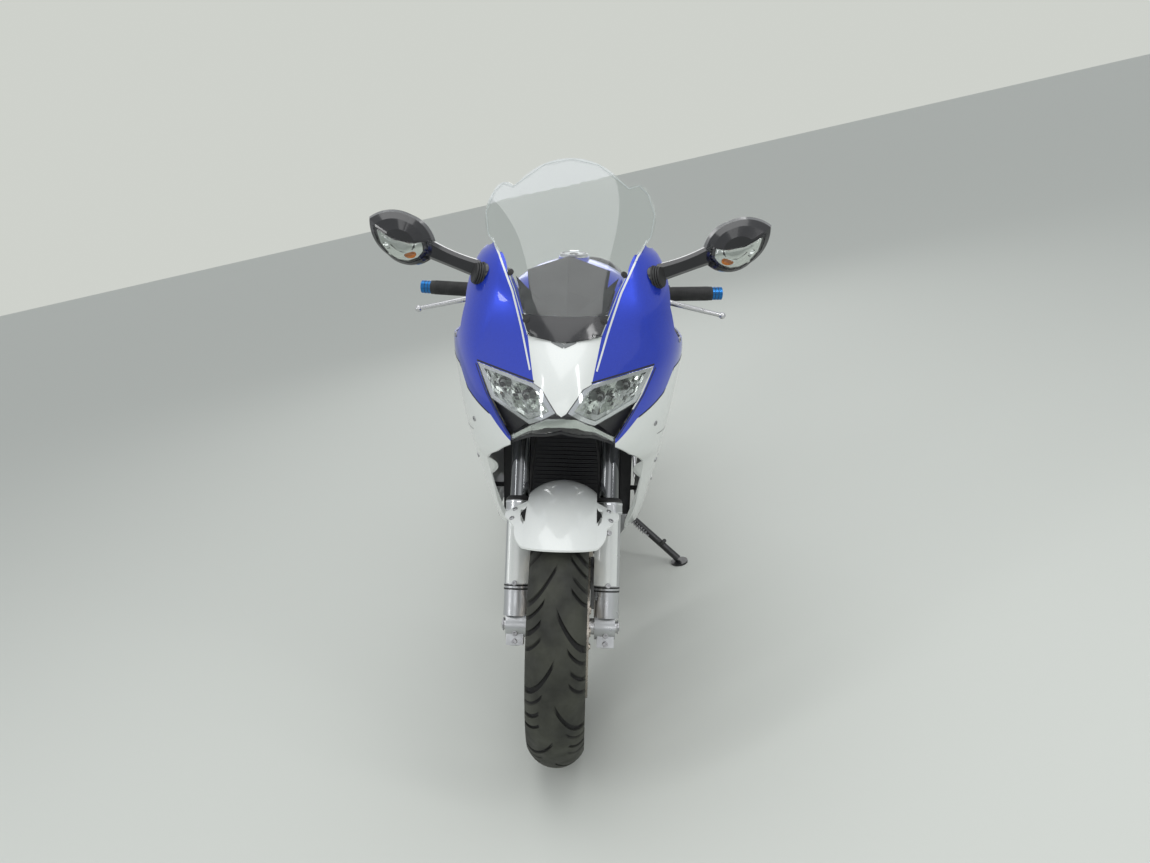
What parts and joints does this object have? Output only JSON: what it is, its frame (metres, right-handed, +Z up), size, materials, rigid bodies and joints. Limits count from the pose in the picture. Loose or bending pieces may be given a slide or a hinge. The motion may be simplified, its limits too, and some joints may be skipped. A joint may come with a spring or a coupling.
{
  "type": "sport motorcycle",
  "caption": "Faired sport motorcycle leaning on its side stand, with turning wheels, steering, a folding stand and a hinged fuel lid.",
  "frame": {"origin": "middle of the footprint of the parked machine's box, on the floor", "axes": "+Z up from the floor, -Y the way the machine faces, +X its left side, to which it leans"},
  "size_m": [0.8848, 2.1356, 1.2694],
  "materials": {
    "frame_alloy": "satin dark alloy",
    "black_steel": "satin black paint",
    "engine_alloy": "painted cast alloy",
    "cover_alloy": "machined and painted alloy",
    "black_plastic": "grained black moulding",
    "stainless": "brushed stainless steel",
    "white_paint": "pearl white under clear lacquer",
    "blue_paint": "metallic royal blue under clear lacquer",
    "clear_lens": "clear moulded lens",
    "reflector": "bright metallised reflector",
    "strip_lens": "bright clear lens",
    "screen": "clear moulded screen",
    "black_gloss": "smooth black moulding",
    "tank_paint": "metallic royal blue under clear lacquer",
    "seat_cover": "grained black seat cover",
    "red_lens": "red moulded lens",
    "bare_alloy": "bare satin alloy",
    "chain_steel": "oiled steel",
    "fork_alloy": "satin silver alloy with chromed tubes",
    "rubber": "black rubber",
    "anodised_blue": "blue anodised",
    "tyre": "black road tyre",
    "wheel_alloy": "satin dark cast alloy",
    "disc_steel": "ground steel",
    "cap_metal": "polished metal"
  },
  "bodies": {
    "chassis": {"frame": "frame_alloy", "rear_subframe": "black_steel", "engine": "engine_alloy", "engine_covers": "cover_alloy", "radiator": "black_plastic", "exhaust_pipes": "stainless", "silencer": "stainless", "fairing_stay": "black_steel", "nose_cowl": "white_paint", "side_cowl_left": "blue_paint", "side_cowl_right": "blue_paint", "lower_fairing_left": "white_paint", "lower_fairing_right": "white_paint", "nose_inner": "black_plastic", "headlamps": "clear_lens", "headlamp_reflectors": "reflector", "position_lamp": "strip_lens", "windscreen": "screen", "cockpit": "black_plastic", "mirror_left": "black_gloss", "mirror_right": "black_gloss", "fuel_tank": "tank_paint", "rider_seat": "seat_cover", "pillion_seat": "seat_cover", "tail_cowl": "white_paint", "tail_lamp": "red_lens", "grab_rail": "black_steel", "rear_mudguard": "black_plastic", "swingarm": "bare_alloy", "rear_caliper": "cover_alloy", "drive_chain": "chain_steel", "footrests": "bare_alloy", "rear_shock": "black_steel"},
    "steering": {"fork_legs": "fork_alloy", "front_axle": "bare_alloy", "yokes": "frame_alloy", "handlebars": "black_steel", "grips": "rubber", "bar_ends": "anodised_blue", "levers": "bare_alloy", "front_fender": "white_paint", "front_calipers": "cover_alloy", "brake_hoses": "rubber"},
    "front_wheel": {"front_tyre": "tyre", "front_rim": "wheel_alloy", "front_discs": "disc_steel"},
    "rear_wheel": {"rear_tyre": "tyre", "rear_rim": "wheel_alloy", "rear_disc": "disc_steel", "rear_sprocket": "chain_steel"},
    "side_stand": {"side_stand": "black_steel"},
    "fuel_cap": {"fuel_cap": "cap_metal"}
  },
  "joints": [
    {"name": "steering_turn", "type": "hinge", "parent": "chassis", "child": "steering", "pos_m": [-0.06777, -0.49733, 0.74805], "axis": [0.2107, 0.4298, 0.878], "range_deg": [-28, 28]},
    {"name": "front_wheel_spin", "type": "hinge", "parent": "steering", "child": "front_wheel", "pos_m": [-0.17683, -0.7679, 0.29355], "axis": [0.9724, 0.0002, -0.2334], "continuous": true},
    {"name": "rear_wheel_spin", "type": "hinge", "parent": "chassis", "child": "rear_wheel", "pos_m": [-0.17333, 0.69209, 0.30929], "axis": [0.9724, 0.0002, -0.2334], "continuous": true},
    {"name": "side_stand_fold", "type": "hinge", "parent": "chassis", "child": "side_stand", "pos_m": [-0.06404, 0.08216, 0.21572], "axis": [0.7812, -0.0083, 0.6242], "range_deg": [0, 100]},
    {"name": "fuel_cap_lid", "type": "hinge", "parent": "chassis", "child": "fuel_cap", "pos_m": [-0.00058, -0.14648, 1.02818], "axis": [-0.9724, -0.0002, 0.2334], "range_deg": [0, 100]}
  ]
}
